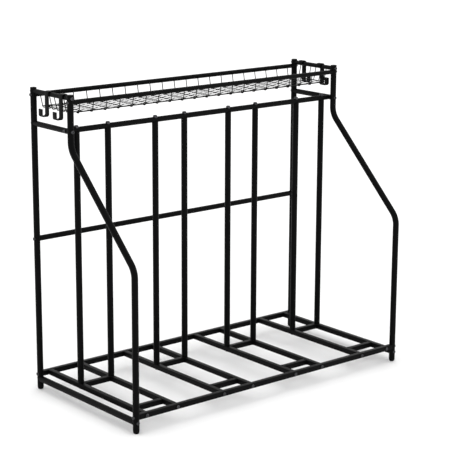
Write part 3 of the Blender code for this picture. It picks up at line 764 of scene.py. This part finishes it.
def add_floor_frame():
    """Add the band round the floor and the support wires halfway between the side wires."""
    centre = Vector((0, MIDDLE_Y, FLOOR_TOP_Z - FLOOR_SHEET / 2))
    x_axis, y_axis = Vector((1, 0, 0)), Vector((0, 1, 0))
    shape = Shape()
    rings = []
    for half_x, half_y, rise in ((0, 0, 1), (0, 0, -1), (1, 1, -1), (1, 1, 1)):
        width = 2 * (FLOOR_HALF_X - half_x * MESH_BAND)
        depth = 2 * (FLOOR_HALF_Y - half_y * MESH_BAND)
        outline = rounded_box(width, depth, BAND_CORNER_R)
        height = Vector((0, 0, rise * FLOOR_SHEET / 2))
        rings.append(ring(centre + height, x_axis, y_axis, outline))
    shape.loft(rings, loop=True)
    shape.finish("basket_floor_band", "mesh_powder_coat")
    supports = Shape()
    z = FLOOR_TOP_Z - FLOOR_SHEET - FIT - SUPPORT_R
    for x in evenly(WIRE_COUNT - 1, WIRE_PITCH):
        straight_wire(supports, (x, UPPER_Y + TO_EDGE_WIRE, z), (x, BACK_Y - TO_EDGE_WIRE, z),
                      (1, 0, 0), SUPPORT_R)
    supports.finish("basket_floor_supports", "basket_powder_coat")


# ---------------------------------------------------------------- hooks

def add_hooks():
    """Add the four flat-strip hooks, each riding on its own body."""
    leg = RAIL_R + HOOK_CLEARANCE + HOOK_THICKNESS / 2
    bottom = -HOOK_DROP + HOOK_THICKNESS / 2
    tip = leg + HOOK_REACH
    corners = [(-leg, -HOOK_LIP), (-leg, leg), (leg, leg), (leg, bottom), (tip, bottom),
               (tip, bottom + HOOK_TIP)]
    outline = rounded_box(HOOK_WIDTH, HOOK_THICKNESS, HOOK_EDGE_R, 3)
    for side, sign in SIDES.items():
        for row in ("front", "back"):
            node = f"hook_{side}_{row}"
            low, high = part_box(node)
            y = (low.y + high.y) / 2
            path = rounded_path([(sign * (POST_X + a), y, SIDE_RAIL_Z + b) for a, b in corners],
                                HOOK_BEND_R, HOOK_BEND_STEPS)
            shape = Shape()
            sweep(shape, path, outline, Vector((0, 1, 0)), HOOK_EDGE_R)
            shape.finish(f"{side}_{row}_hook_strip", "hook_powder_coat", f"{side}_{row}_hook",
                         [node])


# ---------------------------------------------------------------- stage

def add_ground():
    """Add a plain pale floor."""
    material = bpy.data.materials.new("pale_floor")
    material.use_nodes = True
    nodes, links = material.node_tree.nodes, material.node_tree.links
    shader = nodes["Principled BSDF"]
    shader.inputs["Base Color"].default_value = GROUND_COLOUR
    shader.inputs["Specular IOR Level"].default_value = GROUND_SPECULAR_LEVEL
    noise = nodes.new("ShaderNodeTexNoise")
    noise.inputs["Scale"].default_value = GROUND_GRAIN
    rough = nodes.new("ShaderNodeMapRange")
    rough.inputs["To Min"].default_value = GROUND_ROUGHNESS[0]
    rough.inputs["To Max"].default_value = GROUND_ROUGHNESS[1]
    links.new(noise.outputs["Fac"], rough.inputs["Value"])
    links.new(rough.outputs["Result"], shader.inputs["Roughness"])
    data = bpy.data.meshes.new("ground")
    half = GROUND_HALF
    corners = [(-half, -half, 0), (half, -half, 0), (half, half, 0), (-half, half, 0)]
    data.from_pydata(corners, [], [(0, 1, 2, 3)])
    data.materials.append(material)
    ground = bpy.data.objects.new("ground", data)
    bpy.context.scene.collection.objects.link(ground)


def add_soft_sun():
    """Add one broad, even light from overhead."""
    data = bpy.data.lights.new("key", "SUN")
    data.energy = SUN_STRENGTH
    data.angle = math.radians(SUN_SPREAD)
    light = bpy.data.objects.new("key", data)
    light.location = -Vector(SUN_DIRECTION) * SUN_DISTANCE
    light.rotation_euler = Vector(SUN_DIRECTION).to_track_quat("-Z", "Y").to_euler()
    bpy.context.scene.collection.objects.link(light)


def add_studio():
    """Add the soft surroundings and the overhead light."""
    world = bpy.data.worlds.new("studio")
    world.use_nodes = True
    background = world.node_tree.nodes["Background"]
    background.inputs["Color"].default_value = (1.0, 1.0, 1.0, 1.0)
    background.inputs["Strength"].default_value = SKY_STRENGTH
    bpy.context.scene.world = world
    add_soft_sun()
    bpy.context.scene.view_settings.view_transform = "Standard"


def add_camera():
    """Add the camera at the product view's place."""
    data = bpy.data.cameras.new("product_view")
    data.sensor_width = CAMERA_SENSOR
    data.lens = CAMERA_LENS
    data.clip_end = CAMERA_REACH
    camera = bpy.data.objects.new("product_view", data)
    bpy.context.scene.collection.objects.link(camera)
    camera.matrix_world = (Matrix.Translation(CAMERA_PLACE)
                           @ Matrix.Rotation(CAMERA_HEADING, 4, "Z")
                           @ Matrix.Rotation(math.pi / 2 - CAMERA_DIP, 4, "X")
                           @ Matrix.Rotation(CAMERA_ROLL, 4, "Z"))
    bpy.context.scene.camera = camera


add_posts()
add_plugs()
add_bars()
add_trays()
add_uprights()
add_post_bolts()
add_rail_bolts()
add_tray_bolts()
add_basket_sides()
add_floor()
add_floor_frame()
add_hooks()
add_ground()
add_studio()
add_camera()
